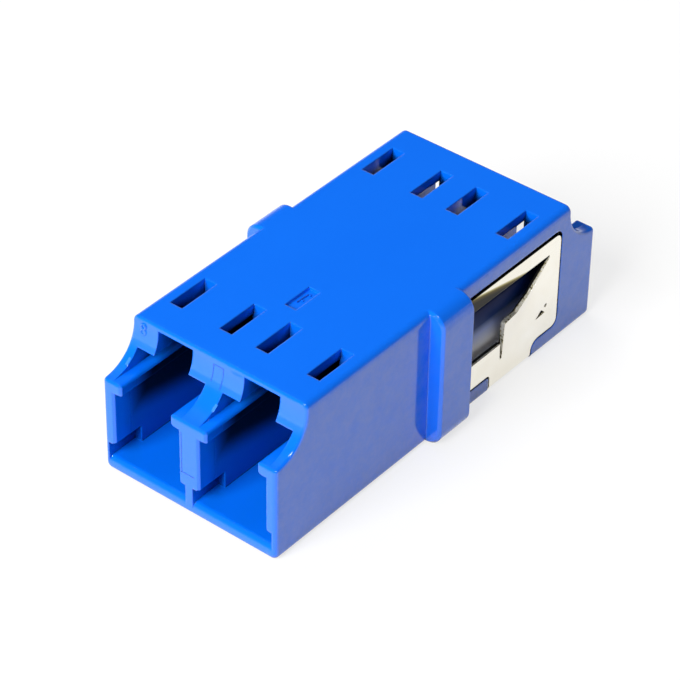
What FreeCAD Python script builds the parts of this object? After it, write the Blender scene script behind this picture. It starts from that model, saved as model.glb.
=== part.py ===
import FreeCAD, Part
import math
import os
from FreeCAD import Vector

"""LC duplex fibre adapter with a simplex footprint, reduced flange and panel clip.

X is the width, Y runs along the ports (front is -Y), Z is up.  The origin is in the middle of the
flat underside.  Both ends are alike, so each end's cuts are made once for the front and turned
half round Z for the rear.  Millimetres.
"""

# Body
BODY_WIDTH = 12.6
BODY_HEIGHT = 9.35
BODY_LENGTH = 29.3
TOP_EDGE_RADIUS = 0.45
BOTTOM_EDGE_RADIUS = 0.4
END_EDGE_RADIUS = 0.3
SCOOP_EDGE_RADIUS = 0.2

# End profile: the top plate stops short and a quarter-circle scoop leads down to the jaw tips
TOP_SETBACK = 2.6
SCOOP_RADIUS = 2.5
JAW_HEIGHT = 6.4

# Reduced flange: one nub on each side, flush with top and underside
NUB_HALF_SPAN = 7.27
NUB_LENGTH = 2.92
NUB_CENTRE_Y = 0.1
NUB_CORNER_RADIUS = 1.05
NUB_EDGE_CHAMFER = 0.16

# Ports
PORT_PITCH = 6.25
PORT_DEPTH = 12.75
FLOOR_THICKNESS = 0.85
CAVITY_WIDTH = 4.74
CAVITY_HEIGHT = 4.72
NECK_WIDTH = 3.6
LIP_ROUNDING = 0.22
WING_WIDTH = 5.0
WING_HEIGHT = 1.15
LATCH_SLOT_WIDTH = 2.54
PLATE_THICKNESS = 0.66
LATCH_LEAD_IN = 0.35
LATCH_RAMP_HEIGHT = 0.6
FLOOR_LEAD_IN_RADIUS = 0.4
MOUTH_BEVEL = 0.14

# Latch windows in the top plate, two over each port at each end
WINDOW_OFFSET = 1.82
WINDOW_WIDTH = 0.886
WINDOW_START = 4.72
WINDOW_END = 7.64

# Relief notches low in the port walls
NOTCH_DEPTH = 0.495
NOTCH_HEIGHT = 1.08
NOTCH_LENGTH = 2.2
NOTCH_ROUNDING = 0.15

# Orientation mark recess in the top
MARK_WIDTH = 0.8
MARK_LENGTH = 2.1
MARK_DEPTH = 0.18
MARK_CENTRE_Y = -4.9

# Sleeve holder
SLEEVE_LENGTH = 6.8
SLEEVE_BORE_RADIUS = 0.6245
SLEEVE_OUTER_RADIUS = 0.81
SLEEVE_SLIT = 0.3
CHAMBER_RADIUS = 0.83
FUNNEL_THROAT_RADIUS = 0.7
FUNNEL_MOUTH_RADIUS = 0.9
BOSS_RADIUS = 1.25
BOSS_REACH = 4.0
SPIGOT_RADIUS = 1.55
SPIGOT_LENGTH = 0.9
RETAINER_SIDE = 4.6
RETAINER_THICKNESS = 1.0
RETAINER_RELIEF = 0.35

# Panel clip
SHEET = 0.3
CLIP_BEND_RADIUS = 0.5
CLIP_GAP = 0.12
CLIP_TOP_GAP = 0.28
SIDE_FRONT = 1.78
SIDE_REAR = 11.12
SIDE_TOP = 7.95
SIDE_BOTTOM = 1.3
SIDE_CORNER_RADIUS = 0.5
LEG_FRONT = 4.61
LEG_REAR = 8.63
LEG_FRONT_FILLET = 0.3
LEG_REAR_FILLET = 0.7
WINDOW_FRONT = 2.6
WINDOW_TOP = 6.95
WINDOW_SILL = 3.04
SLIT_FOOT = (5.69, 1.92)
SLIT_WIDTH = 0.16
CATCH_APEX = (10.02, 6.8)
CATCH_CORNER = (5.51, 4.67)
CATCH_KNEE = (6.81, 4.65)
CATCH_BEND = (8.06, 5.28)
CATCH_ANGLE = 7.0
BARB_CORNERS = ((8.98, 2.78), (9.9, 2.84), (9.5, 3.2))
BARB_EYE = (9.93, 3.32)
BARB_EYE_RADIUS = 0.12
POCKET_DEPTH = 0.3
POCKET_MARGIN = 0.25
POCKET_BEND_HEIGHT = 5.1
POCKET_CURVE_RADIUS = 3.4

PORT_CENTRES = {"left": -PORT_PITCH / 2, "right": PORT_PITCH / 2}
HALF_WIDTH = BODY_WIDTH / 2
HALF_LENGTH = BODY_LENGTH / 2
CAVITY_TOP = FLOOR_THICKNESS + CAVITY_HEIGHT
FERRULE_HEIGHT = FLOOR_THICKNESS + CAVITY_HEIGHT / 2
CORE_HALF = HALF_LENGTH - PORT_DEPTH
OVERRUN = 0.5


def box(x0, x1, y0, y1, z0, z1):
    """Block between two corners."""
    return Part.makeBox(x1 - x0, y1 - y0, z1 - z0, Vector(x0, y0, z0))


def cylinder_y(radius, y0, y1, x, z):
    """Round bar along Y."""
    return Part.makeCylinder(radius, y1 - y0, Vector(x, y0, z), Vector(0, 1, 0))


def cone_y(radius0, radius1, y0, y1, x, z):
    """Tapered bar along Y."""
    return Part.makeCone(radius0, radius1, y1 - y0, Vector(x, y0, z), Vector(0, 1, 0))


def outline(points):
    """Closed wire through the points; a point given as (point, radius) is rounded."""
    corners = [p if isinstance(p[0], Vector) else (p, 0.0) for p in points]
    edges = []
    ends = []
    for index, (corner, radius) in enumerate(corners):
        before = corners[index - 1][0]
        after = corners[(index + 1) % len(corners)][0]
        if radius == 0.0:
            ends.append((corner, corner))
            continue
        to_before = (before - corner).normalize()
        to_after = (after - corner).normalize()
        half_angle = to_before.getAngle(to_after) / 2
        reach = radius / math.tan(half_angle)
        start = corner + to_before * reach
        stop = corner + to_after * reach
        middle_way = (to_before + to_after).normalize()
        middle = corner + middle_way * (radius / math.sin(half_angle) - radius)
        edges.append((index, Part.Arc(start, middle, stop).toShape()))
        ends.append((start, stop))
    arcs = dict(edges)
    chain = []
    for index in range(len(corners)):
        if index in arcs:
            chain.append(arcs[index])
        here = ends[index][1]
        there = ends[(index + 1) % len(corners)][0]
        if here.distanceToPoint(there) > 1e-6:
            chain.append(Part.makeLine(here, there))
    return Part.Wire(chain)


def rounded(points, plane):
    """Turn (a, b, radius) points into corners in the XZ or YZ plane."""
    placed = []
    for a, b, radius in points:
        corner = Vector(a, 0, b) if plane == "xz" else Vector(0, a, b)
        placed.append((corner, radius))
    return outline(placed)


def extrude_y(wire, y0, y1):
    """Push an XZ outline from y0 to y1."""
    face = Part.Face(wire)
    face.translate(Vector(0, y0, 0))
    return face.extrude(Vector(0, y1 - y0, 0))


def extrude_x(wire, x0, x1):
    """Push a YZ outline from x0 to x1."""
    face = Part.Face(wire)
    face.translate(Vector(x0, 0, 0))
    return face.extrude(Vector(x1 - x0, 0, 0))


def half_turn(shape):
    """Copy of a front-end shape turned to the rear end."""
    turned = shape.copy()
    turned.rotate(Vector(0, 0, 0), Vector(0, 0, 1), 180)
    return turned


def mirror_x(shape):
    """Copy of a right-hand shape for the left side."""
    return shape.mirror(Vector(0, 0, 0), Vector(1, 0, 0))


def fuse_all(shapes):
    """Join shapes and drop the seams between flush faces."""
    joined = shapes[0].fuse(shapes[1:])
    return joined.removeSplitter()


# Housing -----------------------------------------------------------------------------------------

def body_block():
    """Solid body with its long edges and both end faces' edges rounded."""
    section = rounded(
        [
            (-HALF_WIDTH, 0, BOTTOM_EDGE_RADIUS),
            (HALF_WIDTH, 0, BOTTOM_EDGE_RADIUS),
            (HALF_WIDTH, BODY_HEIGHT, TOP_EDGE_RADIUS),
            (-HALF_WIDTH, BODY_HEIGHT, TOP_EDGE_RADIUS),
        ],
        "xz",
    )
    block = extrude_y(section, -HALF_LENGTH, HALF_LENGTH)
    return block.makeFillet(END_EDGE_RADIUS, end_edges(block))


def end_edges(shape):
    """Edges that lie flat in the two end faces."""
    return [
        edge
        for edge in shape.Edges
        if edge.BoundBox.YLength < 1e-6 and abs(edge.BoundBox.YMax) > HALF_LENGTH - 1e-6
    ]


def scoop_edges(shape):
    """Edges where the scoops cut the top and the sides."""
    plate_edge = HALF_LENGTH - TOP_SETBACK
    found = []
    for edge in shape.Edges:
        size = edge.BoundBox
        nearest = min(abs(size.YMin), abs(size.YMax))
        if nearest > plate_edge - 1e-3 and size.ZMin > JAW_HEIGHT - 1e-3:
            found.append(edge)
    return found


def end_scoop():
    """What the front end loses above the jaws: a plain step with a quarter-circle foot."""
    tip = -HALF_LENGTH
    plate_edge = tip + TOP_SETBACK
    centre = Vector(0, plate_edge - SCOOP_RADIUS, JAW_HEIGHT + SCOOP_RADIUS)
    slant = SCOOP_RADIUS * math.sqrt(0.5)
    arc_top = Vector(0, plate_edge, centre.z)
    arc_middle = Vector(0, centre.y + slant, centre.z - slant)
    arc_foot = Vector(0, centre.y, JAW_HEIGHT)
    above = BODY_HEIGHT + 1
    beyond = tip - 1
    wire = Part.Wire(
        [
            Part.makeLine(Vector(0, plate_edge, above), arc_top),
            Part.Arc(arc_top, arc_middle, arc_foot).toShape(),
            Part.makeLine(arc_foot, Vector(0, beyond, JAW_HEIGHT)),
            Part.makeLine(Vector(0, beyond, JAW_HEIGHT), Vector(0, beyond, above)),
            Part.makeLine(Vector(0, beyond, above), Vector(0, plate_edge, above)),
        ]
    )
    return extrude_x(wire, -HALF_WIDTH - 1, HALF_WIDTH + 1)


def nubs():
    """Reduced flange: a rounded bar across the middle that stands out on both sides."""
    section = rounded(
        [
            (-NUB_HALF_SPAN, 0, NUB_CORNER_RADIUS),
            (NUB_HALF_SPAN, 0, NUB_CORNER_RADIUS),
            (NUB_HALF_SPAN, BODY_HEIGHT, NUB_CORNER_RADIUS),
            (-NUB_HALF_SPAN, BODY_HEIGHT, NUB_CORNER_RADIUS),
        ],
        "xz",
    )
    front = NUB_CENTRE_Y - NUB_LENGTH / 2
    bar = extrude_y(section, front, front + NUB_LENGTH)
    rims = [edge for edge in bar.Edges if edge.BoundBox.YLength < 1e-6]
    return bar.makeChamfer(NUB_EDGE_CHAMFER, rims)


def port_section(x, foot_reach, foot_height, grow=0):
    """XZ outline of a port: plug cavity with a foot, neck between the lips, wing channel."""
    cavity = CAVITY_WIDTH / 2 + grow
    neck = NECK_WIDTH / 2 + grow
    wing = WING_WIDTH / 2
    lip_foot = CAVITY_TOP + grow
    right_side = [
        (x + foot_reach, FLOOR_THICKNESS, 0),
        (x + foot_reach, FLOOR_THICKNESS + foot_height, 0),
        (x + cavity, FLOOR_THICKNESS + foot_height, NOTCH_ROUNDING),
        (x + cavity, lip_foot, 0),
        (x + neck, lip_foot, LIP_ROUNDING),
        (x + neck, JAW_HEIGHT, LIP_ROUNDING),
        (x + wing, JAW_HEIGHT, 0),
        (x + wing, JAW_HEIGHT + WING_HEIGHT, 0),
    ]
    if foot_reach == cavity:
        del right_side[1:3]
    left_side = [(2 * x - a, b, radius) for a, b, radius in reversed(right_side)]
    return rounded(right_side + left_side, "xz")


def port_cavity(x):
    """The port's mouth with its relief notches, the stretch behind it and the deep end."""
    cavity = CAVITY_WIDTH / 2
    mouth = port_section(x, cavity + NOTCH_DEPTH, NOTCH_HEIGHT)
    behind = port_section(x, cavity, 0)
    deep = box(
        x - cavity, x + cavity, -HALF_LENGTH, -CORE_HALF, FLOOR_THICKNESS, CAVITY_TOP
    )
    return [
        extrude_y(mouth, -HALF_LENGTH - 1, -HALF_LENGTH + NOTCH_LENGTH),
        extrude_y(behind, -HALF_LENGTH, -HALF_LENGTH + WINDOW_END),
        deep,
    ]


def mouth_flare(x):
    """Bevel round the walls and lips of the port's mouth, cut by a ruled loft."""
    wires = []
    for step, grow in ((-MOUTH_BEVEL, 2 * MOUTH_BEVEL), (MOUTH_BEVEL, 0)):
        wire = port_section(x, CAVITY_WIDTH / 2 + NOTCH_DEPTH, NOTCH_HEIGHT, grow)
        wire.translate(Vector(0, step - HALF_LENGTH, 0))
        wires.append(wire)
    return Part.makeLoft(wires, True, True)


def latch_slot(x):
    """Slot for the plug's latch arm: a level ceiling with a lead-in, then a ramp down."""
    plate_edge = -HALF_LENGTH + TOP_SETBACK
    ceiling = BODY_HEIGHT - PLATE_THICKNESS
    ramp_start = -HALF_LENGTH + WINDOW_END
    side = rounded(
        [
            (-HALF_LENGTH - 1, CAVITY_TOP - OVERRUN, 0),
            (-HALF_LENGTH - 1, ceiling + LATCH_LEAD_IN, 0),
            (plate_edge, ceiling + LATCH_LEAD_IN, 0),
            (plate_edge + LATCH_LEAD_IN, ceiling, 0),
            (ramp_start, ceiling, 0),
            (-CORE_HALF, CAVITY_TOP + LATCH_RAMP_HEIGHT, 0),
            (-CORE_HALF, CAVITY_TOP - OVERRUN, 0),
        ],
        "yz",
    )
    half = LATCH_SLOT_WIDTH / 2
    return extrude_x(side, x - half, x + half)


def latch_windows(x):
    """The pair of windows behind a port's latch shoulders, open down to the wing channel."""
    windows = []
    for side in (-1, 1):
        centre = x + side * WINDOW_OFFSET
        windows.append(
            box(
                centre - WINDOW_WIDTH / 2,
                centre + WINDOW_WIDTH / 2,
                -HALF_LENGTH + WINDOW_START,
                -HALF_LENGTH + WINDOW_END,
                JAW_HEIGHT + OVERRUN,
                BODY_HEIGHT + 1,
            )
        )
    return windows


def under_plate_gap(x):
    """Joins a port's two windows below the top plate, where the latch hooks stand."""
    reach = WINDOW_OFFSET + WINDOW_WIDTH / 2
    return box(
        x - reach,
        x + reach,
        -HALF_LENGTH + WINDOW_START,
        -HALF_LENGTH + WINDOW_END,
        JAW_HEIGHT + OVERRUN,
        BODY_HEIGHT - PLATE_THICKNESS,
    )


def floor_lead_in(x):
    """Rounds the front edge of the port's floor."""
    tip = -HALF_LENGTH
    radius = FLOOR_LEAD_IN_RADIUS
    reach = CAVITY_WIDTH / 2 + NOTCH_DEPTH
    corner = box(
        x - reach, x + reach, tip, tip + radius, FLOOR_THICKNESS - radius, FLOOR_THICKNESS
    )
    roll = Part.makeCylinder(
        radius,
        2 * reach,
        Vector(x - reach, tip + radius, FLOOR_THICKNESS - radius),
        Vector(1, 0, 0),
    )
    return corner.cut(roll)


def end_cuts():
    """Everything taken out of the front end behind the scoop."""
    cuts = []
    for x in PORT_CENTRES.values():
        cuts += port_cavity(x)
        cuts += latch_windows(x)
        cuts += [mouth_flare(x), latch_slot(x), under_plate_gap(x), floor_lead_in(x)]
    return cuts


def sleeve_chamber(x):
    """Room for the sleeve in the housing's core, its front mouth and the retainer's seat."""
    z = FERRULE_HEIGHT
    half = SLEEVE_LENGTH / 2
    return [
        cylinder_y(CHAMBER_RADIUS, -half, CORE_HALF, x, z),
        cone_y(FUNNEL_MOUTH_RADIUS, FUNNEL_THROAT_RADIUS, -BOSS_REACH, -half, x, z),
        cylinder_y(SPIGOT_RADIUS, CORE_HALF - SPIGOT_LENGTH, CORE_HALF, x, z),
    ]


def side_recess():
    """Seat for the clip's right side panel: its outline with a small gap all round."""
    seat_outline = side_outline(CLIP_GAP, CLIP_TOP_GAP, CLIP_BEND_RADIUS)
    seat = extrude_x(seat_outline, HALF_WIDTH - SHEET, HALF_WIDTH + 1)
    return [seat, catch_pocket()]


def catch_pocket():
    """Room behind the catch: a flat floor that curves inwards near the catch's free end."""
    floor = HALF_WIDTH - SHEET - POCKET_DEPTH
    low = WINDOW_SILL - POCKET_MARGIN
    top = WINDOW_TOP + POCKET_MARGIN
    turn = math.asin((top - POCKET_BEND_HEIGHT) / POCKET_CURVE_RADIUS)

    def on_curve(angle):
        return Vector(
            floor - POCKET_CURVE_RADIUS * (1 - math.cos(angle)),
            0,
            POCKET_BEND_HEIGHT + POCKET_CURVE_RADIUS * math.sin(angle),
        )

    outer = HALF_WIDTH - SHEET + OVERRUN / 2
    corners = [on_curve(turn), Vector(outer, 0, top), Vector(outer, 0, low), Vector(floor, 0, low)]
    edges = [Part.makeLine(start, end) for start, end in zip(corners, corners[1:])]
    edges.append(Part.makeLine(corners[-1], on_curve(0)))
    edges.append(Part.Arc(on_curve(0), on_curve(turn / 2), on_curve(turn)).toShape())
    return extrude_y(
        Part.Wire(edges), WINDOW_FRONT - POCKET_MARGIN, CATCH_APEX[0] + CLIP_GAP
    )


def strap_recess():
    """Seat for the clip's strap across the underside and round both lower corners."""
    inner = HALF_WIDTH - SHEET
    outer = HALF_WIDTH + 1
    bend = CLIP_BEND_RADIUS - SHEET
    section = rounded(
        [
            (-outer, -1, 0),
            (outer, -1, 0),
            (outer, SIDE_BOTTOM, 0),
            (inner, SIDE_BOTTOM, 0),
            (inner, SHEET, bend),
            (-inner, SHEET, bend),
            (-inner, SIDE_BOTTOM, 0),
            (-outer, SIDE_BOTTOM, 0),
        ],
        "xz",
    )
    return extrude_y(section, LEG_FRONT - CLIP_GAP, LEG_REAR + CLIP_GAP)


def mark_recess():
    """Shallow recess in the top that holds the moulder's orientation mark."""
    return box(
        -MARK_WIDTH / 2,
        MARK_WIDTH / 2,
        MARK_CENTRE_Y - MARK_LENGTH / 2,
        MARK_CENTRE_Y + MARK_LENGTH / 2,
        BODY_HEIGHT - MARK_DEPTH,
        BODY_HEIGHT + 1,
    )


def housing():
    """The one-piece moulded body."""
    scoop = end_scoop()
    shell = body_block().cut([scoop, half_turn(scoop)])
    shell = shell.makeFillet(SCOOP_EDGE_RADIUS, scoop_edges(shell))
    shell = fuse_all([shell, nubs()])
    front = end_cuts()
    shell = shell.cut(front + [half_turn(cut) for cut in front])
    bosses = [
        cylinder_y(BOSS_RADIUS, -BOSS_REACH, -CORE_HALF, x, FERRULE_HEIGHT)
        for x in PORT_CENTRES.values()
    ]
    shell = fuse_all([shell] + bosses)
    cuts = []
    for x in PORT_CENTRES.values():
        cuts += sleeve_chamber(x)
    right = side_recess()
    cuts += right + [mirror_x(cut) for cut in right]
    cuts += [strap_recess(), mark_recess()]
    return shell.cut(cuts).removeSplitter()


# Sleeve parts ------------------------------------------------------------------------------------

def sleeve_retainer(x):
    """Square plate with a spigot that closes the chamber and a boss towards the rear port."""
    z = FERRULE_HEIGHT
    half = RETAINER_SIDE / 2
    plate_end = CORE_HALF + RETAINER_THICKNESS
    section = rounded(
        [
            (x - half, z - half, RETAINER_RELIEF),
            (x + half, z - half, RETAINER_RELIEF),
            (x + half, z + half, RETAINER_RELIEF),
            (x - half, z + half, RETAINER_RELIEF),
        ],
        "xz",
    )
    plate = extrude_y(section, CORE_HALF, plate_end)
    spigot = cylinder_y(SPIGOT_RADIUS, CORE_HALF - SPIGOT_LENGTH, CORE_HALF, x, z)
    boss = cylinder_y(BOSS_RADIUS, plate_end, BOSS_REACH, x, z)
    sleeve_end = SLEEVE_LENGTH / 2
    chamber = cylinder_y(CHAMBER_RADIUS, 0, sleeve_end, x, z)
    funnel = cone_y(FUNNEL_THROAT_RADIUS, FUNNEL_MOUTH_RADIUS, sleeve_end, BOSS_REACH, x, z)
    return fuse_all([plate, spigot, boss]).cut([chamber, funnel])


def split_sleeve(x):
    """Precision ceramic tube, slit along its whole length at the top."""
    z = FERRULE_HEIGHT
    half = SLEEVE_LENGTH / 2
    tube = cylinder_y(SLEEVE_OUTER_RADIUS, -half, half, x, z)
    bore = cylinder_y(SLEEVE_BORE_RADIUS, -half, half, x, z)
    slit = box(
        x - SLEEVE_SLIT / 2, x + SLEEVE_SLIT / 2, -half, half, z, z + SLEEVE_OUTER_RADIUS
    )
    return tube.cut([bore, slit])


# Panel clip --------------------------------------------------------------------------------------

def side_outline(grow, top_grow, foot):
    """YZ outline of a clip side panel with its leg down to foot, grown by a gap."""
    corner = SIDE_CORNER_RADIUS + grow
    return rounded(
        [
            (SIDE_FRONT - grow, SIDE_BOTTOM - grow, 0),
            (SIDE_FRONT - grow, SIDE_TOP + top_grow, 0),
            (SIDE_REAR + grow, SIDE_TOP + top_grow, corner),
            (SIDE_REAR + grow, SIDE_BOTTOM - grow, corner),
            (LEG_REAR + grow, SIDE_BOTTOM - grow, LEG_REAR_FILLET - grow),
            (LEG_REAR + grow, foot, 0),
            (LEG_FRONT - grow, foot, 0),
            (LEG_FRONT - grow, SIDE_BOTTOM - grow, LEG_FRONT_FILLET - grow),
        ],
        "yz",
    )


def clip_saddle():
    """The folded U of sheet: two sides and the strap, as wide as the leg."""
    outer = rounded(
        [
            (-HALF_WIDTH, 0, CLIP_BEND_RADIUS),
            (HALF_WIDTH, 0, CLIP_BEND_RADIUS),
            (HALF_WIDTH, SIDE_TOP, 0),
            (HALF_WIDTH - SHEET, SIDE_TOP, 0),
            (HALF_WIDTH - SHEET, SHEET, CLIP_BEND_RADIUS - SHEET),
            (-HALF_WIDTH + SHEET, SHEET, CLIP_BEND_RADIUS - SHEET),
            (-HALF_WIDTH + SHEET, SIDE_TOP, 0),
            (-HALF_WIDTH, SIDE_TOP, 0),
        ],
        "xz",
    )
    folded = extrude_y(outer, SIDE_FRONT, SIDE_REAR)
    stamped = extrude_x(side_outline(0, 0, -OVERRUN), -HALF_WIDTH - 1, HALF_WIDTH + 1)
    return folded.common(stamped)


def catch_opening():
    """Stamped opening of the right side: the window, the slit and the catch's own triangle."""
    strip_end = SLIT_FOOT[0] - SLIT_WIDTH
    side = rounded(
        [
            (WINDOW_FRONT, WINDOW_SILL, 0.1),
            (WINDOW_FRONT, WINDOW_TOP, 0.1),
            (CATCH_APEX[0], WINDOW_TOP, 0.05),
            (CATCH_APEX[0], CATCH_APEX[1], 0),
            (SLIT_FOOT[0], SLIT_FOOT[1], 0),
            (strip_end, SLIT_FOOT[1], 0),
            (strip_end, WINDOW_SILL, 0),
        ],
        "yz",
    )
    return extrude_x(side, HALF_WIDTH - 2 * SHEET, HALF_WIDTH + SHEET)


def catch():
    """Sprung catch of the right side: a triangle bent out about the line foot to apex."""
    side = rounded(
        [
            (SLIT_FOOT[0], SLIT_FOOT[1], 0),
            (CATCH_CORNER[0], CATCH_CORNER[1], 0.15),
            (CATCH_KNEE[0], CATCH_KNEE[1], 0.3),
            (CATCH_BEND[0], CATCH_BEND[1], 0),
            (CATCH_APEX[0], CATCH_APEX[1], 0),
        ],
        "yz",
    )
    flap = extrude_x(side, HALF_WIDTH - SHEET, HALF_WIDTH)
    hinge_foot = Vector(HALF_WIDTH - SHEET, SLIT_FOOT[0], SLIT_FOOT[1])
    hinge_way = Vector(0, CATCH_APEX[0] - SLIT_FOOT[0], CATCH_APEX[1] - SLIT_FOOT[1])
    flap.rotate(hinge_foot, hinge_way, CATCH_ANGLE)
    return flap


def barb_slits():
    """Small triangular lance and its eye in the right side, above the leg."""
    inside = HALF_WIDTH - 2 * SHEET
    outside = HALF_WIDTH + SHEET
    lance = rounded([(y, z, 0) for y, z in BARB_CORNERS], "yz")
    eye_centre = Vector(inside, BARB_EYE[0], BARB_EYE[1])
    eye = Part.makeCylinder(BARB_EYE_RADIUS, outside - inside, eye_centre, Vector(1, 0, 0))
    return [extrude_x(lance, inside, outside), eye]


def panel_clip():
    """The folded sheet clip with a catch on each side."""
    openings = [catch_opening()] + barb_slits()
    openings += [mirror_x(opening) for opening in openings]
    stamped = clip_saddle().cut(openings)
    right = catch()
    return fuse_all([stamped, right, mirror_x(right)])


def parts():
    """Every piece by its node name."""
    pieces = {"housing": housing(), "panel_clip": panel_clip()}
    for side, x in PORT_CENTRES.items():
        pieces["sleeve_retainer_" + side] = sleeve_retainer(x)
        pieces["split_sleeve_" + side] = split_sleeve(x)
    return pieces


def main():
    os.makedirs("parts", exist_ok=True)
    for name, shape in parts().items():
        shape.exportStep("parts/" + name + ".step")
        size = shape.optimalBoundingBox(False)
        print(
            name,
            "solids", len(shape.Solids),
            "valid", shape.isValid(),
            "volume %.2f" % shape.Volume,
            "size %.2f %.2f %.2f" % (size.XLength, size.YLength, size.ZLength),
        )


main()
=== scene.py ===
# %% [markdown]
# # A duplex fibre adapter in blue plastic with a sprung metal panel clip
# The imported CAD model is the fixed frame: a moulded housing, a folded sheet clip and, deep in the
# ports, two ceramic sleeves with their retainers.  This notebook gives those solids their finishes,
# adds the fine marks that a mould leaves, and sets up a small white studio.

# %% Load the frame
import math

import bmesh
import bpy
from mathutils import Matrix, Vector


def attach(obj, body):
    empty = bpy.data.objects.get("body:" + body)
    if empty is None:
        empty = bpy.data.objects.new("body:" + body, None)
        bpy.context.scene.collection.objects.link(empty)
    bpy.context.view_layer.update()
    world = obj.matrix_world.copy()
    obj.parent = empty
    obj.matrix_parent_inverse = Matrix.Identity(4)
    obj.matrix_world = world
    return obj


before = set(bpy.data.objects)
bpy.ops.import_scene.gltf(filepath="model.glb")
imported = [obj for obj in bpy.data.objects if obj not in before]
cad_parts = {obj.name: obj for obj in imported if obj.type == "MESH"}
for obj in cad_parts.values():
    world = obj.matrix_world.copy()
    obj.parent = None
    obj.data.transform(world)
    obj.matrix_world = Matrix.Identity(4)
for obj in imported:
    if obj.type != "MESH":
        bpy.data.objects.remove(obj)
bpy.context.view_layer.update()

MM = 0.001
print("nodes:", sorted(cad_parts))

# %% [markdown]
# ## Colour and nodes
# A finish is easiest to talk about as an sRGB hex value, the way a colour card gives it, but a
# renderer adds up light in linear values.  One function turns the first into the second.  A second
# small function adds a node with its settings and its links, so each material below reads like a
# parts list.  In that list a hex value stands for a colour, and a node for its first output in use.

# %% Hex to linear colour
def linear(hex_value):
    """Turn an sRGB hex value such as 1E90FF into a linear RGBA colour."""
    channels = [int(hex_value[i:i + 2], 16) / 255 for i in (0, 2, 4)]
    straight = [c / 12.92 if c <= 0.04045 else ((c + 0.055) / 1.055) ** 2.4 for c in channels]
    return (*straight, 1.0)


print("mid grey:", [round(c, 3) for c in linear("808080")])


# %% One function that adds a node
def add_node(tree, kind, inputs=None, stops=(), **settings):
    """Add a node: settings are its own attributes, stops fill a colour ramp, and each input is a
    value, a hex colour, another node or one of its outputs."""
    node = tree.nodes.new(kind)
    for name, value in settings.items():
        setattr(node, name, value)
    for name, value in (inputs or {}).items():
        if isinstance(value, bpy.types.Node):
            value = next(output for output in value.outputs if output.enabled)
        if isinstance(value, bpy.types.NodeSocket):
            tree.links.new(value, node.inputs[name])
        else:
            node.inputs[name].default_value = linear(value) if isinstance(value, str) else value
    for _ in stops[2:]:
        node.color_ramp.elements.new(0.5)
    for index, (position, hex_value) in enumerate(stops):
        node.color_ramp.elements[index].position = position
        node.color_ramp.elements[index].color = linear(hex_value)
    return node


def new_material(name):
    """Start an empty node material and return it with its tree."""
    material = bpy.data.materials.new(name)
    material.use_nodes = True
    material.node_tree.nodes.clear()
    return material, material.node_tree


def per_mm(size):
    """Noise scale, in waves per metre, for a pattern whose grain is size millimetres."""
    return 1 / (size * MM)


# A Mix node keeps its inputs for numbers and for colours side by side; these are their places.
FACTOR = 0
NUMBER_A, NUMBER_B = 2, 3
COLOUR_A, COLOUR_B = 6, 7
print("a grain of 0.1 mm has a noise scale of", round(per_mm(0.1)))

# %% [markdown]
# ## Telling places on the part apart
# One solid can carry a finish that changes from place to place: here the sides are hazier than the
# top, and the depths of the ports are dark.  Object coordinates say where a point lies, in metres
# from the part's origin.  They are turned to millimetres, with X counted outwards from the middle
# so that left and right match, and a mask is then simply a box in those three numbers.  The spans,
# lengths, heights and grains named from here on are all in millimetres.

# %% Places in millimetres and box masks
def place_in_mm(tree, place):
    """The point's own X, Y and Z on the part, in millimetres, with X counted outwards."""
    in_mm = add_node(
        tree, "ShaderNodeVectorMath",
        {0: place.outputs["Object"], "Scale": 1 / MM}, operation="SCALE",
    )
    axes = add_node(tree, "ShaderNodeSeparateXYZ", {"Vector": in_mm})
    outward = add_node(tree, "ShaderNodeMath", {0: axes.outputs["X"]}, operation="ABSOLUTE")
    return outward, axes.outputs["Y"], axes.outputs["Z"]


def within(tree, *ranges):
    """1 where every (value, low, high) holds, 0 elsewhere."""
    inside = 1.0
    for value, low, high in ranges:
        for operation, limit in (("GREATER_THAN", low), ("LESS_THAN", high)):
            test = add_node(tree, "ShaderNodeMath", {0: value, 1: limit}, operation=operation)
            inside = add_node(tree, "ShaderNodeMath", {0: test, 1: inside}, operation="MULTIPLY")
    return inside


# %% [markdown]
# ## The housing's blue
# The housing is PBT, a hard polyester, injection moulded in a tool with a light spark-eroded
# texture.  To the eye it is a deep, saturated blue whose colour wanders by a few percent where the
# melt has flowed.  Its outer side walls mirror the white table, and the pale patches laid over the
# blue there are a painted sheen.  The top and the ends get none and stay clear.

# %% Blue with a painted sheen on the outer sides
FLOW_GRAIN = 6.0
SHEEN_GRAIN = 1.4
SHEEN_LEAST, SHEEN_MOST = 0.01, 0.11
SIDE_TILT = 0.8
SIDE_WALL = 6.25


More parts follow.
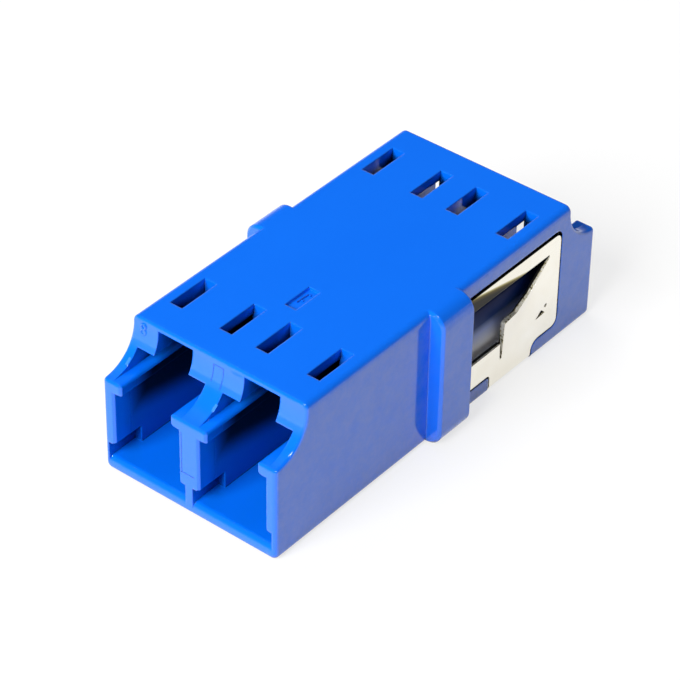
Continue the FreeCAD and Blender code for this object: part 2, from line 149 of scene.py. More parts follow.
def blue_with_painted_sheen(tree, place, side, outward):
    """The plastic's own blue, with a painted sheen: paler in patches on the outer side walls."""
    flow = add_node(
        tree, "ShaderNodeTexNoise",
        {"Vector": place.outputs["Object"], "Scale": per_mm(FLOW_GRAIN), "Detail": 3.0},
    )
    blue = add_node(
        tree, "ShaderNodeMix",
        {FACTOR: flow, COLOUR_A: "0270F8", COLOUR_B: "0676FE"}, data_type="RGBA",
    )
    # Painted sheen: pale patches on the outer side walls stand in for the table's reflection.
    patches = add_node(
        tree, "ShaderNodeTexNoise",
        {
            "Vector": place.outputs["Object"], "Scale": per_mm(SHEEN_GRAIN),
            "Detail": 6.0, "Roughness": 0.7,
        },
    )
    sheen = add_node(
        tree, "ShaderNodeMapRange",
        {
            "Value": patches, "From Min": 0.35, "From Max": 0.65,
            "To Min": SHEEN_LEAST, "To Max": SHEEN_MOST,
        },
    )
    outer = add_node(tree, "ShaderNodeMath", {0: outward, 1: SIDE_WALL}, operation="GREATER_THAN")
    sheen_side = add_node(tree, "ShaderNodeMath", {0: side, 1: outer}, operation="MULTIPLY")
    amount = add_node(tree, "ShaderNodeMath", {0: sheen, 1: sheen_side}, operation="MULTIPLY")
    return add_node(
        tree, "ShaderNodeMix",
        {FACTOR: amount, COLOUR_A: blue, COLOUR_B: "C8CCD8"}, data_type="RGBA",
    )


# %% [markdown]
# ## Light and dark in the ports
# A port is a deep, narrow box, and each bounce off blue plastic takes most of the light with it, so
# the inside runs from full blue at the mouth to nearly black.  Bounced light alone leaves a render
# brighter in there than the real thing looks.  So the shade is painted: the colour is brought down
# where Ambient Occlusion finds a point closed in, with a lift for floors, which face the light.
# The port's side walls get a painted gradient of their own: blue along the foot, where the floor
# shines on them, in a band that narrows going in, and blue again at the mouth.

# %% How much light a point in a port gets
HOLLOW_REACH = 12.0 * MM
FLOOR_LIFT = 0.37
CLOSED_IN, OPEN_ENOUGH = 0.13, 0.28
WALL_SPAN = (0.6, 5.6)
WALL_HEIGHTS = (0.9, 6.2)
WALL_BAND_SLOPE = 0.18
WALL_BAND = (2.7, 4.45)
WALL_FOOT_LIGHT = 0.62
MOUTH = (11.9, 14.2)
MOUTH_PLANE = 12.0


def light_in_hollows(tree, tilt):
    """1 in the open, falling to 0 where the surroundings close a point in."""
    openness = add_node(
        tree, "ShaderNodeAmbientOcclusion", {"Distance": HOLLOW_REACH}, samples=16
    )
    upward = add_node(
        tree, "ShaderNodeMath", {0: tilt.outputs["Z"], 1: 0.0}, operation="MAXIMUM"
    )
    lit = add_node(
        tree, "ShaderNodeMath",
        {0: upward, 1: FLOOR_LIFT, 2: openness.outputs["AO"]}, operation="MULTIPLY_ADD",
    )
    return add_node(
        tree, "ShaderNodeMapRange",
        {"Value": lit, "From Min": CLOSED_IN, "From Max": OPEN_ENOUGH},
        interpolation_type="SMOOTHSTEP",
    )


def light_on_port_walls(tree, along, height):
    """Light along the foot of a wall and at the mouth, dark above and deeper in."""
    from_middle = add_node(tree, "ShaderNodeMath", {0: along}, operation="ABSOLUTE")
    inwards = add_node(
        tree, "ShaderNodeMath", {0: MOUTH_PLANE, 1: from_middle}, operation="SUBTRACT"
    )
    above_floor = add_node(
        tree, "ShaderNodeMath",
        {0: inwards, 1: WALL_BAND_SLOPE, 2: height}, operation="MULTIPLY_ADD",
    )
    foot_light = add_node(
        tree, "ShaderNodeMapRange",
        {
            "Value": above_floor, "From Min": WALL_BAND[0], "From Max": WALL_BAND[1],
            "To Min": WALL_FOOT_LIGHT, "To Max": 0.0,
        },
        interpolation_type="SMOOTHSTEP",
    )
    mouth_light = add_node(
        tree, "ShaderNodeMapRange",
        {"Value": from_middle, "From Min": MOUTH[0], "From Max": MOUTH[1]},
        interpolation_type="SMOOTHSTEP",
    )
    return add_node(
        tree, "ShaderNodeMath", {0: foot_light, 1: mouth_light}, operation="MAXIMUM"
    )


# %% [markdown]
# ## The pocket behind each catch
# The catch springs into a pocket whose floor curves inwards towards the catch's free end.  The
# steel rail shades the top of that floor, and its foot catches light from the table; both are
# painted into its colour, a painted shade above and a painted reflection below, so it runs from
# nearly black above to a pale blue grey below.  The step of the seat round the clip is a narrow
# gap, and its shadow is painted as a thin dark outline.

# %% Pocket and seat
POCKET_SPAN = (4.9, 5.95)
POCKET_LENGTH = (2.2, 10.3)
POCKET_HEIGHTS = (2.7, 7.3)
POCKET_CURVE_HEIGHTS = (5.4, 7.2)
POCKET_CURVE_SPANS = (5.6, 4.95)
POCKET_RAMP_HEIGHTS = (3.0, 7.0)
SEAT_STEP = (5.9, 6.27)
SEAT_LENGTH = (1.7, 11.4)
SEAT_HEIGHTS = (1.0, 8.35)
PAINTED_SHADE_BLUE = "00030C"


def pocket_floor(tree, outward, along, height):
    """1 on the curved floor of the pocket, 0 on everything round it."""
    curve = add_node(
        tree, "ShaderNodeMapRange",
        {
            "Value": height,
            "From Min": POCKET_CURVE_HEIGHTS[0], "From Max": POCKET_CURVE_HEIGHTS[1],
            "To Min": POCKET_CURVE_SPANS[0], "To Max": POCKET_CURVE_SPANS[1],
        },
    )
    outside = add_node(tree, "ShaderNodeMath", {0: outward, 1: curve}, operation="GREATER_THAN")
    window = within(
        tree, (outward, *POCKET_SPAN), (along, *POCKET_LENGTH), (height, *POCKET_HEIGHTS)
    )
    return add_node(tree, "ShaderNodeMath", {0: outside, 1: window}, operation="MULTIPLY")


def pocket_and_seat(tree, colour, pocket, outward, along, height):
    """Lay the pocket's painted shade and reflection and the seat's painted shadow over the
    plastic's colour.
    """
    pocket_height = add_node(
        tree, "ShaderNodeMapRange",
        {
            "Value": height,
            "From Min": POCKET_RAMP_HEIGHTS[0], "From Max": POCKET_RAMP_HEIGHTS[1],
        },
    )
    # Painted shade at the top of the pocket floor, and a painted reflection of the table at its
    # foot.
    pocket_shade_and_reflection = add_node(
        tree, "ShaderNodeValToRGB", {"Fac": pocket_height},
        stops=(
            (0.06, "FFFFFF"), (0.34, "A8B6E4"), (0.48, "18346C"), (0.66, "061E58"),
            (0.82, "020409"),
        ),
    )
    colour = add_node(
        tree, "ShaderNodeMix", {FACTOR: pocket, COLOUR_A: colour, COLOUR_B: pocket_shade_and_reflection}, data_type="RGBA"
    )
    # Painted shadow: the seat's narrow gap is laid dark.
    seat = within(tree, (outward, *SEAT_STEP), (along, *SEAT_LENGTH), (height, *SEAT_HEIGHTS))
    return add_node(
        tree, "ShaderNodeMix",
        {FACTOR: seat, COLOUR_A: colour, COLOUR_B: PAINTED_SHADE_BLUE}, data_type="RGBA",
    )


# %% [markdown]
# ## The housing's gloss
# PBT's IOR is about 1.57.  It is set a little higher here, at 1.64, which gives the pale veil that
# the white table lays over the sides.  The spark texture, about a tenth of a millimetre across,
# blurs the reflections a little, and the pocket and the port walls are duller.  Down there the
# reflections are other blue walls, so Specular Tint makes the shine dark blue, a painted shade on
# the reflections.  A Bevel node rounds the normals along the mould's edges, which real tools never
# leave knife sharp.

# %% Gloss of the spark texture
SPARK_GLOSS = (0.07, 0.13)
POCKET_DULLNESS = 0.45
WALL_DULLNESS = 0.5


def moulded_gloss(tree, grain, pocket, port_wall, wall_light):
    """Roughness of the plastic: a light spark texture, duller in the pocket and in the ports."""
    gloss = add_node(
        tree, "ShaderNodeMapRange",
        {"Value": grain, "To Min": SPARK_GLOSS[0], "To Max": SPARK_GLOSS[1]},
    )
    gloss = add_node(
        tree, "ShaderNodeMath",
        {0: pocket, 1: POCKET_DULLNESS, 2: gloss}, operation="MULTIPLY_ADD",
    )
    wall_shade = add_node(
        tree, "ShaderNodeMath", {0: 1.0, 1: wall_light}, operation="SUBTRACT", use_clamp=True
    )
    dull_wall = add_node(
        tree, "ShaderNodeMath", {0: port_wall, 1: wall_shade}, operation="MULTIPLY"
    )
    return add_node(
        tree, "ShaderNodeMath",
        {0: dull_wall, 1: WALL_DULLNESS, 2: gloss}, operation="MULTIPLY_ADD",
    )


# %% Moulded blue PBT
PBT_IOR = 1.64
PBT_SHINE = 0.58
EDGE_ROUNDING = 0.13 * MM
SPARK_GRAIN = 0.12
SPARK_DEPTH = 0.0025 * MM


def moulded_pbt():
    """Saturated blue plastic with a fine spark-eroded grain."""
    material, tree = new_material("moulded_pbt_blue")
    place = add_node(tree, "ShaderNodeTexCoord")
    outward, along, height = place_in_mm(tree, place)
    facing = add_node(tree, "ShaderNodeNewGeometry")
    tilt = add_node(tree, "ShaderNodeSeparateXYZ", {"Vector": facing.outputs["Normal"]})
    sideways = add_node(tree, "ShaderNodeMath", {0: tilt.outputs["X"]}, operation="ABSOLUTE")
    side = add_node(tree, "ShaderNodeMath", {0: sideways, 1: SIDE_TILT}, operation="GREATER_THAN")

    wall_span = within(tree, (outward, *WALL_SPAN), (height, *WALL_HEIGHTS))
    port_wall = add_node(tree, "ShaderNodeMath", {0: side, 1: wall_span}, operation="MULTIPLY")
    wall_light = light_on_port_walls(tree, along, height)
    light = add_node(
        tree, "ShaderNodeMix",
        {FACTOR: port_wall, NUMBER_A: light_in_hollows(tree, tilt), NUMBER_B: wall_light},
        data_type="FLOAT",
    )
    # Painted shade: the colour runs down to a near black blue where the ports get little light.
    colour = add_node(
        tree, "ShaderNodeMix",
        {FACTOR: light, COLOUR_A: PAINTED_SHADE_BLUE, COLOUR_B: blue_with_painted_sheen(tree, place, side, outward)},
        data_type="RGBA",
    )
    pocket = pocket_floor(tree, outward, along, height)
    colour = pocket_and_seat(tree, colour, pocket, outward, along, height)

    grain = add_node(
        tree, "ShaderNodeTexNoise",
        {"Vector": place.outputs["Object"], "Scale": per_mm(SPARK_GRAIN), "Detail": 2.0},
    )
    gloss = moulded_gloss(tree, grain, pocket, port_wall, wall_light)
    shade = add_node(
        tree, "ShaderNodeMath", {0: 1.0, 1: light}, operation="SUBTRACT", use_clamp=True
    )
    enclosed = add_node(tree, "ShaderNodeMath", {0: shade, 1: pocket}, operation="MAXIMUM")
    # Painted shade on the reflections: the shine turns dark blue in the ports and the pocket.
    shine = add_node(
        tree, "ShaderNodeMix",
        {FACTOR: enclosed, COLOUR_A: "FFFFFF", COLOUR_B: "0A1E66"}, data_type="RGBA",
    )
    edges = add_node(tree, "ShaderNodeBevel", {"Radius": EDGE_ROUNDING}, samples=8)
    bump = add_node(
        tree, "ShaderNodeBump",
        {"Height": grain, "Normal": edges, "Strength": 0.5, "Distance": SPARK_DEPTH},
    )
    shader = add_node(
        tree, "ShaderNodeBsdfPrincipled",
        {
            "Base Color": colour, "Roughness": gloss, "Specular Tint": shine, "Normal": bump,
            "IOR": PBT_IOR, "Specular IOR Level": PBT_SHINE,
        },
    )
    add_node(tree, "ShaderNodeOutputMaterial", {"Surface": shader})
    return material


pbt = moulded_pbt()
print("housing finish:", pbt.name)

# %% [markdown]
# ## The clip's steel
# The clip is stamped from hard stainless spring strip and plated with nickel.  Rolled strip comes
# out of the mill almost mirror bright, with the faintest lines along the rolling direction, and
# nickel makes it slightly warm.  A metal's colour is its reflection, so the base colour is bright
# and the roughness low.  The rail over the window is dished towards the catch and mirrors the dark
# room, in a wedge that grows along it; a bump can't turn a flat face that far, so that reflection
# is painted, laid on as a warm dark colour.

# %% Bright strip with a dished rail
STRIP_LINE_STRETCH = (1.0, 0.03, 1.0)
STRIP_GRAIN = 0.12
STAIN_GRAIN = 2.5
RAIL_HEIGHTS = (6.9, 8.0)
RAIL_LENGTH = (1.7, 8.2)
RAIL_SLOPE = 0.205
RAIL_PALE, RAIL_DARK = 8.63, 8.0


def strip_colour(tree, place, along, height):
    """Warm bright metal, with a painted reflection: darker where the dished rail mirrors the room.
    """
    stains = add_node(
        tree, "ShaderNodeTexNoise",
        {"Vector": place.outputs["Object"], "Scale": per_mm(STAIN_GRAIN), "Detail": 3.0},
    )
    bright = add_node(
        tree, "ShaderNodeMix",
        {FACTOR: stains, COLOUR_A: "EFE9D8", COLOUR_B: "FDFBF4"}, data_type="RGBA",
    )
    rail = within(tree, (height, *RAIL_HEIGHTS), (along, *RAIL_LENGTH))
    across_wedge = add_node(
        tree, "ShaderNodeMath", {0: along, 1: RAIL_SLOPE, 2: height}, operation="MULTIPLY_ADD"
    )
    shade = add_node(
        tree, "ShaderNodeMapRange",
        {"Value": across_wedge, "From Min": RAIL_PALE, "From Max": RAIL_DARK},
    )
    # Painted reflection: a warm dark wedge on the rail, growing along it.
    painted_rail_reflection = add_node(
        tree, "ShaderNodeValToRGB", {"Fac": shade},
        stops=((0.0, "F2EEE0"), (0.15, "A89E6A"), (0.33, "4E4216"), (0.7, "120E02")),
    )
    return add_node(
        tree, "ShaderNodeMix", {FACTOR: rail, COLOUR_A: bright, COLOUR_B: painted_rail_reflection}, data_type="RGBA"
    )


# %% [markdown]
# ## The clip's cut edges
# A press shears the outer part of the sheet's thickness to a clean, bright land and tears the inner
# part, which stays rough.  The land is coloured cream and the inner part near black, so along the
# window's slanted edge a cream line runs with a dark one beside it.  The upper edge lies in the
# shadow of the seat, and that shadow is painted: the edge is near black all through.  Cut edges
# are told apart by their normal: they don't face sideways as the flat sheet does.

# %% Sheared edges
EDGE_LAND = 6.19
SHADED_EDGE = 7.6
BURR_GRAIN = 0.16
SHEET_TILT = 0.5


def sheared_edges(tree, place, colour, sheared, outward, height):
    """Colour every cut edge: the bright land, near black on its inner part, and a painted shadow
    along the upper edge.
    """
    burr = add_node(
        tree, "ShaderNodeTexNoise",
        {"Vector": place.outputs["Object"], "Scale": per_mm(BURR_GRAIN), "Detail": 2.0},
    )
    land = add_node(
        tree, "ShaderNodeValToRGB", {"Fac": burr},
        stops=((0.34, "5A5030"), (0.42, "D8CEA4"), (0.54, "FFFBEC")),
    )
    # Near black on the inner part of each cut edge; on the upper edge it is a painted shadow.
    inner = add_node(tree, "ShaderNodeMath", {0: outward, 1: EDGE_LAND}, operation="LESS_THAN")
    shaded = add_node(tree, "ShaderNodeMath", {0: height, 1: SHADED_EDGE}, operation="GREATER_THAN")
    dark = add_node(tree, "ShaderNodeMath", {0: inner, 1: shaded}, operation="MAXIMUM")
    edge = add_node(
        tree, "ShaderNodeMix", {FACTOR: dark, COLOUR_A: land, COLOUR_B: "0C0A05"}, data_type="RGBA"
    )
    return add_node(
        tree, "ShaderNodeMix", {FACTOR: sheared, COLOUR_A: colour, COLOUR_B: edge}, data_type="RGBA"
    )


# %% Nickel-plated spring steel
STRIP_GLOSS = (0.1, 0.2)
STRIP_LINE_DEPTH = 0.001 * MM
BEND_ROUNDING = 0.07 * MM
TORN_ROUGHNESS = 0.4
TORN_METAL_LOSS = -0.5


def plated_spring_steel():
    """Bright rolled strip with faint lines along the part's length."""
    material, tree = new_material("nickel_plated_spring_steel")
    place = add_node(tree, "ShaderNodeTexCoord")
    outward, along, height = place_in_mm(tree, place)
    facing = add_node(tree, "ShaderNodeNewGeometry")
    tilt = add_node(tree, "ShaderNodeSeparateXYZ", {"Vector": facing.outputs["True Normal"]})
    sideways = add_node(tree, "ShaderNodeMath", {0: tilt.outputs["X"]}, operation="ABSOLUTE")
    sheared = add_node(tree, "ShaderNodeMath", {0: sideways, 1: SHEET_TILT}, operation="LESS_THAN")
    colour = strip_colour(tree, place, along, height)
    colour = sheared_edges(tree, place, colour, sheared, outward, height)

    stretched = add_node(
        tree, "ShaderNodeMapping", {"Vector": place.outputs["Object"], "Scale": STRIP_LINE_STRETCH}
    )
    lines = add_node(
        tree, "ShaderNodeTexNoise",
        {"Vector": stretched, "Scale": per_mm(STRIP_GRAIN), "Detail": 3.0},
    )
    gloss = add_node(
        tree, "ShaderNodeMapRange",
        {"Value": lines, "To Min": STRIP_GLOSS[0], "To Max": STRIP_GLOSS[1]},
    )
    gloss = add_node(
        tree, "ShaderNodeMath",
        {0: sheared, 1: TORN_ROUGHNESS, 2: gloss}, operation="MULTIPLY_ADD",
    )
    metal = add_node(
        tree, "ShaderNodeMath", {0: sheared, 1: TORN_METAL_LOSS, 2: 1.0}, operation="MULTIPLY_ADD"
    )
    edges = add_node(tree, "ShaderNodeBevel", {"Radius": BEND_ROUNDING}, samples=6)
    bump = add_node(
        tree, "ShaderNodeBump",
        {"Height": lines, "Normal": edges, "Strength": 0.4, "Distance": STRIP_LINE_DEPTH},
    )
    shader = add_node(
        tree, "ShaderNodeBsdfPrincipled",
        {"Base Color": colour, "Metallic": metal, "Roughness": gloss, "Normal": bump},
    )
    add_node(tree, "ShaderNodeOutputMaterial", {"Surface": shader})
    return material


steel = plated_spring_steel()
print("clip finish:", steel.name)

# %% [markdown]
# ## The sleeves' finish
# The alignment sleeves are zirconia, a dense white ceramic ground to a fraction of a micron.  It
# looks like polished ivory: a high IOR of about 2.1 gives it a hard shine, and a little light
# travels under the surface.  The grinding marks are drawn coarser than they are, or they would not
# show at all.

# %% Polished zirconia
ZIRCONIA_IOR = 2.1
ZIRCONIA_DEPTH = 0.3 * MM
GRINDING_GRAIN = 0.2
GRINDING_GLOSS = (0.1, 0.16)


def polished_zirconia():
    """Ivory-white ceramic with a soft sheen from its grinding."""
    material, tree = new_material("polished_zirconia_ceramic")
    place = add_node(tree, "ShaderNodeTexCoord")
    marks = add_node(
        tree, "ShaderNodeTexNoise",
        {"Vector": place.outputs["Object"], "Scale": per_mm(GRINDING_GRAIN), "Detail": 2.0},
    )
    colour = add_node(
        tree, "ShaderNodeMix",
        {FACTOR: marks, COLOUR_A: "F1EEE4", COLOUR_B: "F8F6F0"}, data_type="RGBA",
    )
    gloss = add_node(
        tree, "ShaderNodeMapRange",
        {"Value": marks, "To Min": GRINDING_GLOSS[0], "To Max": GRINDING_GLOSS[1]},
    )
    shader = add_node(
        tree, "ShaderNodeBsdfPrincipled",
        {
            "Base Color": colour, "Roughness": gloss, "IOR": ZIRCONIA_IOR,
            "Subsurface Weight": 0.1, "Subsurface Scale": ZIRCONIA_DEPTH,
        },
    )
    add_node(tree, "ShaderNodeOutputMaterial", {"Surface": shader})
    return material


zirconia = polished_zirconia()
print("sleeve finish:", zirconia.name)

# %% [markdown]
# ## Each solid gets its finish
# The retainers are moulded from the same blue plastic as the housing, so three of the six solids
# share one material, and both sleeves share another.

# %% Give each solid its finish
FINISH_OF = {
    "housing": pbt,
    "panel_clip": steel,
    "sleeve_retainer_left": pbt,
    "sleeve_retainer_right": pbt,
    "split_sleeve_left": zirconia,
    "split_sleeve_right": zirconia,
}
for node_name, finish in FINISH_OF.items():
    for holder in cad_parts[node_name].material_slots:
        holder.material = finish
    print(node_name, "->", finish.name)

# %% [markdown]
# ## Marks of the mould
# A real moulding shows where its tool comes apart.  The steel insert that forms the middle of each
# end leaves a fine outline where it meets the main cavity, and a small raised number says which
# cavity of the tool the part came from.  They stand only a few hundredths of a millimetre proud, so
# each line is a slim bar laid along the surface, half sunk, and the number is an extruded digit.
# They are real shapes and not a bump, so their edges catch the light from every side.  The lines
# are a darker blue than the housing, a painted shade like the shade in a fine groove.

# %% Slim raised bars
LINE_WIDTH = 0.055 * MM
LINE_PROUD = 0.012 * MM


def raised_bar(shape, start, end, normal, width=LINE_WIDTH, proud=LINE_PROUD):
    """Add a bar from start to end, lying on a surface with that normal and half sunk in it."""
    start, end, normal = (Vector(v) for v in (start, end, normal))
    run = end - start
    along, up = run.normalized(), normal.normalized()
    across = up.cross(along).normalized()
    turn = Matrix((along, across, up)).transposed().to_4x4()
    size = Matrix.Diagonal((run.length + width, width, 2 * proud, 1.0))
    middle = Matrix.Translation((start + end) / 2)
    bmesh.ops.create_cube(shape, size=1.0, matrix=middle @ turn @ size)


def finish_piece(name, shape, material):
    """Turn a bmesh into a piece of the part, riding on its one body."""
    bmesh.ops.recalc_face_normals(shape, faces=shape.faces[:])
    mesh = bpy.data.meshes.new(name)
    shape.to_mesh(mesh)
    shape.free()
    mesh.materials.append(material)
    piece = bpy.data.objects.new(name, mesh)
    bpy.context.scene.collection.objects.link(piece)
    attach(piece, "root")
    print(name, len(mesh.polygons), "faces")
    return piece


# %% Outlines of the mould inserts
END_FACE = -14.65
SCOOP_MIDDLE = (-14.55, 8.9)
SCOOP_RADIUS = 2.5
OUTLINE_STEPS = 6
TOUCH_GRAIN = 0.4


def on_scoop(x, z):
    """Point on the hollow end face above the middle wall, and the surface's normal there, in mm."""
    middle_y, middle_z = SCOOP_MIDDLE
    drop = max(middle_z - z, 0.0)
    reach = math.sqrt(SCOOP_RADIUS ** 2 - drop ** 2)
    return Vector((x, middle_y + reach, z)), Vector((0, -reach, drop))


def insert_outline(shape, left, right, top, left_foot, right_foot):
    """Outline of an insert on the scooped face: a top line and a line down each side."""
    corner_left, normal = on_scoop(left, top)
    corner_right, _ = on_scoop(right, top)
    raised_bar(shape, corner_left * MM, corner_right * MM, normal)
    for x, foot in ((left, left_foot), (right, right_foot)):
        drop = (foot - top) / OUTLINE_STEPS
        heights = [top + drop * step for step in range(OUTLINE_STEPS + 1)]
        for upper, lower in zip(heights, heights[1:]):
            start, normal = on_scoop(x, upper)
            end, _ = on_scoop(x, lower)
            raised_bar(shape, start * MM, end * MM, normal)


def post_outline(shape, left, right, top, bottom):
    """Outline of the insert that forms the end of the middle wall."""
    corner = Vector((left, END_FACE, bottom)) * MM
    for far in (Vector((left, END_FACE, top)), Vector((right, END_FACE, bottom))):
        raised_bar(shape, corner, far * MM, (0, -1, 0))


def painted_mark_pbt(name, first, second, gloss):
    """PBT mottled between two shades of blue, for the lines that carry a painted shade and the
    flats that carry a painted highlight.
    """
    material, tree = new_material(name)
    place = add_node(tree, "ShaderNodeTexCoord")
    mottle = add_node(
        tree, "ShaderNodeTexNoise",
        {"Vector": place.outputs["Object"], "Scale": per_mm(TOUCH_GRAIN), "Detail": 2.0},
    )
    colour = add_node(
        tree, "ShaderNodeMix", {FACTOR: mottle, COLOUR_A: first, COLOUR_B: second}, data_type="RGBA"
    )
    shader = add_node(
        tree, "ShaderNodeBsdfPrincipled", {"Base Color": colour, "Roughness": gloss, "IOR": PBT_IOR}
    )
    add_node(tree, "ShaderNodeOutputMaterial", {"Surface": shader})
    return material


# Painted shade: the insert lines and the recess rib are a darker blue than the housing.
painted_shade_pbt = painted_mark_pbt("pbt_painted_shade_lines", "0A3FA6", "1668E0", gloss=0.3)
for end_name, turned in (("front", False), ("rear", True)):
    lines = bmesh.new()
    insert_outline(lines, left=-0.33, right=0.38, top=8.85, left_foot=7.85, right_foot=7.63)
    post_outline(lines, left=-0.49, right=0.4, top=5.55, bottom=2.78)
    if turned:
        half_turn = Matrix.Rotation(math.pi, 3, "Z")
        bmesh.ops.rotate(lines, verts=lines.verts[:], cent=(0, 0, 0), matrix=half_turn)
    finish_piece("insert_lines_" + end_name, lines, painted_shade_pbt)

# %% [markdown]
# ## Cavity number
# Text starts as a curve.  It is made a mesh first, then merged, narrowed and stood upright, and
# only then carried to its place on the left shoulder of the front end.

# %% A raised digit
NUMBER_SIZE = 1.173 * MM
NUMBER_PROUD = 0.08 * MM
NUMBER_NARROWING = 0.85
NUMBER_PLACE = Vector((-5.47, -12.06, 8.27)) * MM
MERGE_DISTANCE = 0.0005 * MM


def cavity_number(text):
    """A raised digit on the shoulder of the front end."""
    curve = bpy.data.curves.new("cavity_number_line", "FONT")
    curve.body = text
    curve.size = NUMBER_SIZE
    curve.extrude = NUMBER_PROUD
    curve.align_x = "CENTER"
    holder = bpy.data.objects.new("cavity_number_line", curve)
    bpy.context.scene.collection.objects.link(holder)
    mesh = bpy.data.meshes.new_from_object(holder)
    bpy.data.objects.remove(holder)
    shape = bmesh.new()
    shape.from_mesh(mesh)
    bmesh.ops.remove_doubles(shape, verts=shape.verts[:], dist=MERGE_DISTANCE)
    bmesh.ops.scale(shape, vec=(NUMBER_NARROWING, 1, 1), verts=shape.verts[:])
    upright = Matrix.Rotation(math.pi / 2, 3, "X")
    bmesh.ops.rotate(shape, verts=shape.verts[:], cent=(0, 0, 0), matrix=upright)
    bmesh.ops.translate(shape, verts=shape.verts[:], vec=NUMBER_PLACE)
    return finish_piece("cavity_number", shape, pbt)


cavity_number("8")

# %% [markdown]
# ## Marks in the top recess
# The small recess in the top holds what the tool's marking pin leaves: a short rib with rounded
# edges and two round dots, half sunk in the floor.

# %% Rib and dots
RECESS_FLOOR = 9.17
RIB_WIDTH = 0.09 * MM
RIB_PROUD = 0.07 * MM
RIB_ROUNDING = 0.02 * MM
DOT_RADIUS = 0.075 * MM
DOT_LIFT = 0.03

rib = bmesh.new()
rib_start = Vector((-0.14, -5.2, RECESS_FLOOR)) * MM
rib_end = Vector((-0.1, -4.35, RECESS_FLOOR)) * MM
raised_bar(rib, rib_start, rib_end, (0, 0, 1), RIB_WIDTH, RIB_PROUD)
bmesh.ops.bevel(
    rib, geom=rib.edges[:], offset=RIB_ROUNDING, segments=2, profile=0.5, affect="EDGES",
    material=-1,
)
# The rib's darker blue is a painted shade.
finish_piece("recess_rib", rib, painted_shade_pbt)
dots = bmesh.new()
for x, y in ((0.02, -4.95), (0.04, -4.3)):
    middle = Vector((x, y, RECESS_FLOOR + DOT_LIFT)) * MM
    bmesh.ops.create_icosphere(
        dots, subdivisions=3, radius=DOT_RADIUS, matrix=Matrix.Translation(middle)
    )
finish_piece("recess_dots", dots, pbt)

# %% [markdown]
# ## Glints on the corners of the scoops
# Two tiny flats on the inner corners of the scoops are turned to catch the glint lamp, and their
# paler blue is a painted highlight.

# %% Small flats with a painted highlight
FLAT_WIDTH = 0.15 * MM
FLAT_PROUD = 0.045 * MM
FLAT_TOP = (-12.95, 6.96)
FLAT_FOOT = (-13.2, 6.77)

glint_flats = bmesh.new()
for x, facing in ((0.59, (0.394, -0.478, 0.785)), (-5.75, (0.41, -0.478, 0.777))):
    flat_top = Vector((x, *FLAT_TOP)) * MM
    flat_foot = Vector((x, *FLAT_FOOT)) * MM
    raised_bar(glint_flats, flat_top, flat_foot, facing, FLAT_WIDTH, FLAT_PROUD)
# Painted highlight: the flats are a paler blue than the housing.
painted_highlight_pbt = painted_mark_pbt("pbt_painted_highlight", "2C86F8", "3C92FF", gloss=0.12)
finish_piece("scoop_corner_flats", glint_flats, painted_highlight_pbt)

# %% [markdown]
# ## The table
# A part this small is set on a white table under soft light.  The table has to do three jobs: stay
# pure white to the eye, keep a faint shadow, and show as white in the plastic and the steel.  So
# for rays from the camera, and for those that reach it by reflection, it is mostly a plain white
# glow with a little true white paint; for every other ray it is white paint that bounces light.
# It lies a hair below the part, because two faces in one plane would flicker.

# %% White table
TABLE_SIZE = 3.0
TABLE_GLOW = 0.74
TABLE_GAP = 0.02 * MM


def white_table():
    """Large plane under the part, white to the eye and in reflections."""
    mesh = bpy.data.meshes.new("white_table")
    shape = bmesh.new()
    bmesh.ops.create_grid(shape, x_segments=1, y_segments=1, size=TABLE_SIZE / 2)
    bmesh.ops.translate(shape, verts=shape.verts, vec=(0.0, 0.0, -TABLE_GAP))
    shape.to_mesh(mesh)
    shape.free()
    table = bpy.data.objects.new("white_table", mesh)
    bpy.context.scene.collection.objects.link(table)
    material, tree = new_material("matt_white_table")
    path = add_node(tree, "ShaderNodeLightPath")
    seen = add_node(
        tree, "ShaderNodeMath",
        {0: path.outputs["Is Camera Ray"], 1: path.outputs["Is Glossy Ray"]}, operation="ADD",
    )
    seen_or_through = add_node(
        tree, "ShaderNodeMath",
        {0: seen, 1: path.outputs["Is Transmission Ray"]}, operation="ADD", use_clamp=True,
    )
    paint = add_node(tree, "ShaderNodeBsdfDiffuse", {"Color": "D6D6D6"})
    thin_paint = add_node(tree, "ShaderNodeBsdfDiffuse", {"Color": "939393"})
    glow = add_node(tree, "ShaderNodeEmission", {"Strength": TABLE_GLOW})
    bright = add_node(tree, "ShaderNodeAddShader", {0: thin_paint, 1: glow})
    surface = add_node(tree, "ShaderNodeMixShader", {0: seen_or_through, 1: paint, 2: bright})
    add_node(tree, "ShaderNodeOutputMaterial", {"Surface": surface})
    mesh.materials.append(material)
    return table


table = white_table()
print("table", TABLE_SIZE, "m square")

# %% [markdown]
# ## The room
# The room itself gives only a weak, even light.  To the eye it is plain white, like the table.
# In reflections it runs from pale at the horizon to dark overhead, as a room does round a lit
# table, so the top face keeps its full colour instead of a grey veil and the steel gets its bright
# sides.  Light Path tells which kind of ray is asking.

# %% Dim room with a pale horizon
ROOM_LIGHT = 0.07
ROOM_HORIZON = 0.55
ROOM_OVERHEAD = 0.06
HORIZON_HEIGHT = 0.45


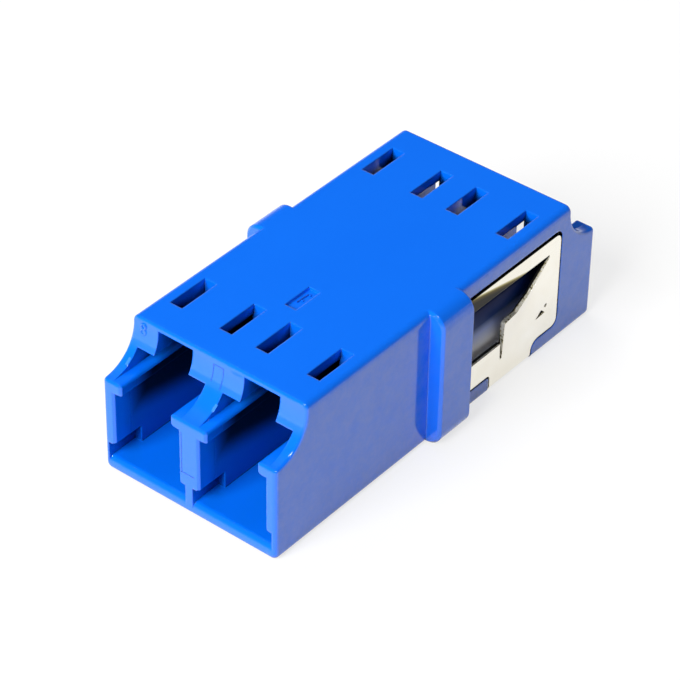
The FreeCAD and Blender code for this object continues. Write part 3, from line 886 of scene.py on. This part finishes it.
def dim_room():
    """Even, weak light from all around; in reflections the walls run from pale to dark overhead."""
    world = bpy.data.worlds.new("dim_room")
    world.use_nodes = True
    tree = world.node_tree
    tree.nodes.clear()
    sky = add_node(tree, "ShaderNodeTexCoord")
    axes = add_node(tree, "ShaderNodeSeparateXYZ", {"Vector": sky.outputs["Generated"]})
    walls = add_node(
        tree, "ShaderNodeMapRange",
        {
            "Value": axes.outputs["Z"], "From Max": HORIZON_HEIGHT,
            "To Min": ROOM_HORIZON, "To Max": ROOM_OVERHEAD,
        },
        interpolation_type="SMOOTHSTEP",
    )
    path = add_node(tree, "ShaderNodeLightPath")
    mirrored = add_node(
        tree, "ShaderNodeMath",
        {0: path.outputs["Is Glossy Ray"], 1: path.outputs["Is Transmission Ray"]},
        operation="MAXIMUM",
    )
    lighting = add_node(
        tree, "ShaderNodeMix",
        {FACTOR: mirrored, NUMBER_A: ROOM_LIGHT, NUMBER_B: walls}, data_type="FLOAT",
    )
    level = add_node(
        tree, "ShaderNodeMix",
        {FACTOR: path.outputs["Is Camera Ray"], NUMBER_A: lighting, NUMBER_B: 1.0},
        data_type="FLOAT",
    )
    air = add_node(tree, "ShaderNodeBackground", {"Color": "FFFFFF", "Strength": level})
    add_node(tree, "ShaderNodeOutputWorld", {"Surface": air})
    bpy.context.scene.world = world
    print("room light", ROOM_LIGHT, "horizon", ROOM_HORIZON, "overhead", ROOM_OVERHEAD)


dim_room()

# %% [markdown]
# ## The lamps
# The key lamp stands straight ahead and a little under forty degrees up, so the front end and the
# top share its light.  A weaker one from the left and behind opens the shadows.  A third lights
# nothing: it shows only in reflections, as a small glint on edges that face the right way.  Lamp
# power is worked out from the brightness wanted: a lamp of P watts at distance d lights a white
# card to P / (pi * d)^2.

# %% Studio lamps
LAMP_DISTANCE = 0.5


def direction(azimuth, elevation):
    """Unit vector towards a point seen at that bearing: azimuth 0 is the front, 90 the right."""
    a, e = math.radians(azimuth), math.radians(elevation)
    return Vector((math.sin(a) * math.cos(e), -math.cos(a) * math.cos(e), math.sin(e)))


def studio_lamp(name, azimuth, elevation, size, level, glint=False):
    """Square lamp aimed at the part, as bright as level on a white card; a glint only reflects."""
    data = bpy.data.lights.new(name, "AREA")
    data.shape = "SQUARE"
    data.size = size
    data.energy = level * (math.pi * LAMP_DISTANCE) ** 2
    lamp = bpy.data.objects.new(name, data)
    bpy.context.scene.collection.objects.link(lamp)
    towards = direction(azimuth, elevation)
    lamp.location = towards * LAMP_DISTANCE
    lamp.rotation_euler = towards.to_track_quat("Z", "Y").to_euler()
    lamp.visible_glossy = glint
    lamp.visible_diffuse = not glint
    print(name, round(data.energy, 2), "W")
    return lamp


studio_lamp("key_lamp", azimuth=-1, elevation=37, size=0.28, level=1.44)
studio_lamp("left_lamp", azimuth=-105, elevation=52, size=0.3, level=0.32)
studio_lamp("glint_lamp", azimuth=36, elevation=63, size=0.09, level=0.3, glint=True)

# %% [markdown]
# ## The camera
# A long lens from the front right and above, as for a catalogue.  The shift slides the part in the
# frame and leaves the perspective alone.

# %% Camera
CAMERA_AZIMUTH = 38.102
CAMERA_ELEVATION = 37.638
CAMERA_ROLL = 1.312
CAMERA_DISTANCE = 176.856 * MM
CAMERA_LENS = 161.9
CAMERA_SHIFT = (-0.03817, -0.03286)
CAMERA_NEAR = 1 * MM
CAMERA_FAR = 10.0
AIM = Vector((0, 0.85, 4.6)) * MM


def catalogue_camera():
    """Camera on its bearing, rolled a little about its own axis."""
    back = direction(CAMERA_AZIMUTH, CAMERA_ELEVATION)
    level = math.radians(CAMERA_AZIMUTH)
    right = Vector((math.cos(level), math.sin(level), 0))
    up = back.cross(right)
    facing = Matrix((right, up, back)).transposed()
    data = bpy.data.cameras.new("catalogue_camera")
    data.lens = CAMERA_LENS
    data.shift_x, data.shift_y = CAMERA_SHIFT
    data.clip_start = CAMERA_NEAR
    data.clip_end = CAMERA_FAR
    camera = bpy.data.objects.new("catalogue_camera", data)
    bpy.context.scene.collection.objects.link(camera)
    camera.location = AIM + back * CAMERA_DISTANCE
    roll = Matrix.Rotation(math.radians(CAMERA_ROLL), 3, "Z")
    camera.rotation_euler = (facing @ roll).to_euler()
    bpy.context.scene.camera = camera
    return camera


camera = catalogue_camera()
print("camera at", [round(v / MM, 1) for v in camera.location], "mm")

# %% [markdown]
# ## View
# The Standard view shows a colour as it is written.

bpy.context.scene.view_settings.view_transform = "Standard"
